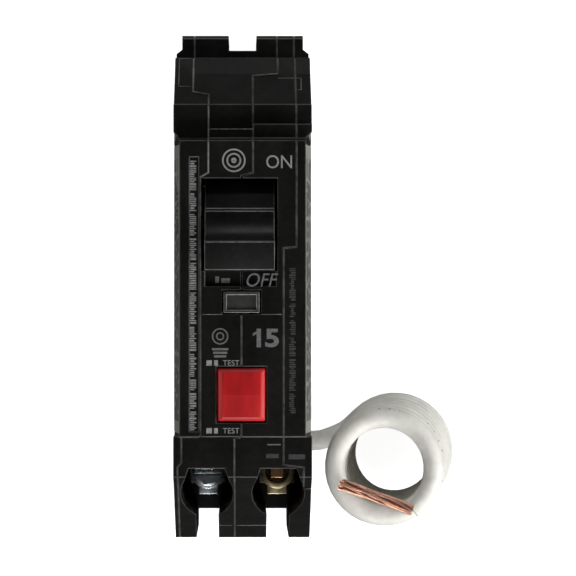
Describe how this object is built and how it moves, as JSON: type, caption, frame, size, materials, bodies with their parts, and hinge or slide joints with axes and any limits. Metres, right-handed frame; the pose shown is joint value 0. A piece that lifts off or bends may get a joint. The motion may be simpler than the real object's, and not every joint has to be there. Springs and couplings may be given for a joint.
{
  "type": "ground-fault circuit breaker",
  "caption": "Single-pole ground-fault circuit breaker: black moulded case, toggle handle, red test button, two screw terminals and a coiled white neutral pigtail.",
  "frame": {"origin": "centre of the case's rear face", "axes": "+Z out of the front face, +Y towards the line end, +X towards the side the pigtail leaves"},
  "size_m": [0.0547, 0.0958, 0.0645],
  "materials": {
    "case_plastic": "satin moulded",
    "handle_plastic": "satin moulded",
    "label_paper": "matt printed",
    "rivet_steel": "zinc plated",
    "lens_plastic": "translucent smoke",
    "lamp_plastic": "clear moulded",
    "button_red": "moulded",
    "mechanism_steel": "plain",
    "copper": "bare copper",
    "contact_silver": "satin",
    "bimetal": "rolled",
    "board": "coated",
    "core_coating": "coated",
    "capacitor_sleeve": "sleeved",
    "varistor_coat": "dipped",
    "chip": "moulded",
    "coil_wire": "enamelled",
    "plated_steel": "zinc plated",
    "brass": "plain",
    "bushing_rubber": "matt",
    "wire_insulation": "satin vinyl"
  },
  "bodies": {
    "case": {"left_cover": "case_plastic", "mechanism_case": "case_plastic", "module_case": "case_plastic", "right_cover": "case_plastic", "label_left": "label_paper", "label_right": "label_paper", "case_rivet_1": "rivet_steel", "case_rivet_2": "rivet_steel", "case_rivet_3": "rivet_steel", "case_rivet_4": "rivet_steel", "indicator_lens": "lens_plastic", "indicator_lamp": "lamp_plastic", "handle_pin": "mechanism_steel", "contact_arm_pin": "mechanism_steel", "cradle_pin": "mechanism_steel", "toggle_spring": "mechanism_steel", "magnet_yoke": "mechanism_steel", "calibration_screw": "mechanism_steel", "arc_chute": "mechanism_steel", "button_spring": "mechanism_steel", "plunger_spring": "mechanism_steel", "solenoid_frame": "mechanism_steel", "line_jaw": "copper", "load_strap": "copper", "braid": "copper", "test_contact": "copper", "neutral_strap": "copper", "pigtail_strands": "copper", "fixed_contact": "contact_silver", "bimetal": "bimetal", "circuit_board": "board", "sense_transformer": "core_coating", "ground_transformer": "core_coating", "capacitor": "capacitor_sleeve", "varistor": "varistor_coat", "control_chip": "chip", "solenoid_coil": "coil_wire", "neutral_plate": "plated_steel", "power_plate": "brass", "pigtail_bushing": "bushing_rubber", "neutral_wire": "wire_insulation", "pigtail_lead": "wire_insulation", "pigtail_coil": "wire_insulation"},
    "handle": {"handle": "handle_plastic"},
    "contact_arm": {"contact_arm": "copper", "moving_contact": "contact_silver"},
    "cradle": {"cradle": "mechanism_steel"},
    "armature": {"armature": "mechanism_steel"},
    "plunger": {"plunger": "mechanism_steel"},
    "test_button": {"test_button": "button_red"},
    "neutral_clamp": {"neutral_clamp": "plated_steel"},
    "neutral_screw": {"neutral_screw": "plated_steel"},
    "power_clamp": {"power_clamp": "brass"},
    "power_screw": {"power_screw": "copper"}
  },
  "joints": [
    {"name": "handle_throw", "type": "hinge", "parent": "case", "child": "handle", "pos_m": [0, 0.01095, 0.043], "axis": [-1, 0, 0], "range_deg": [0, 31]},
    {"name": "contact_arm_swing", "type": "hinge", "parent": "case", "child": "contact_arm", "pos_m": [0, 0.0145, 0.031], "axis": [-1, 0, 0], "range_deg": [0, 15]},
    {"name": "cradle_trip", "type": "hinge", "parent": "case", "child": "cradle", "pos_m": [0, 0.0275, 0.0425], "axis": [1, 0, 0], "range_deg": [0, 9]},
    {"name": "solenoid_pull", "type": "slide", "parent": "case", "child": "plunger", "axis": [0, -1, 0], "range_m": [0, 0.0012], "stiffness_N_per_m": 60},
    {"name": "armature_tilt", "type": "hinge", "parent": "case", "child": "armature", "pos_m": [0, 0.0013, 0.04], "axis": [-1, 0, 0], "range_deg": [0, 2.65]},
    {"name": "test_button_press", "type": "slide", "parent": "case", "child": "test_button", "axis": [0, 0, -1], "range_m": [0, 0.0015], "stiffness_N_per_m": 400, "deforming": ["button_spring"]},
    {"name": "neutral_clamp_lift", "type": "slide", "parent": "case", "child": "neutral_clamp", "axis": [0, 0, 1], "range_m": [-0.0016, 0.0008]},
    {"name": "neutral_screw_turn", "type": "hinge", "parent": "neutral_clamp", "child": "neutral_screw", "pos_m": [-0.0066, -0.0356, 0.024], "axis": [0, 0, 1], "range_deg": [-720, 360]},
    {"name": "power_clamp_lift", "type": "slide", "parent": "case", "child": "power_clamp", "axis": [0, 0, 1], "range_m": [-0.0016, 0.0008]},
    {"name": "power_screw_turn", "type": "hinge", "parent": "power_clamp", "child": "power_screw", "pos_m": [0.0066, -0.0356, 0.024], "axis": [0, 0, 1], "range_deg": [-720, 360]}
  ],
  "couplings": [
    {"joint": "contact_arm_swing", "follows": "handle_throw", "ratio": 0.48387},
    {"joint": "armature_tilt", "follows": "solenoid_pull", "rad_per_m": 38.462},
    {"joint": "neutral_screw_turn", "follows": "neutral_clamp_lift", "rad_per_m": 7854},
    {"joint": "power_screw_turn", "follows": "power_clamp_lift", "rad_per_m": 7854}
  ]
}
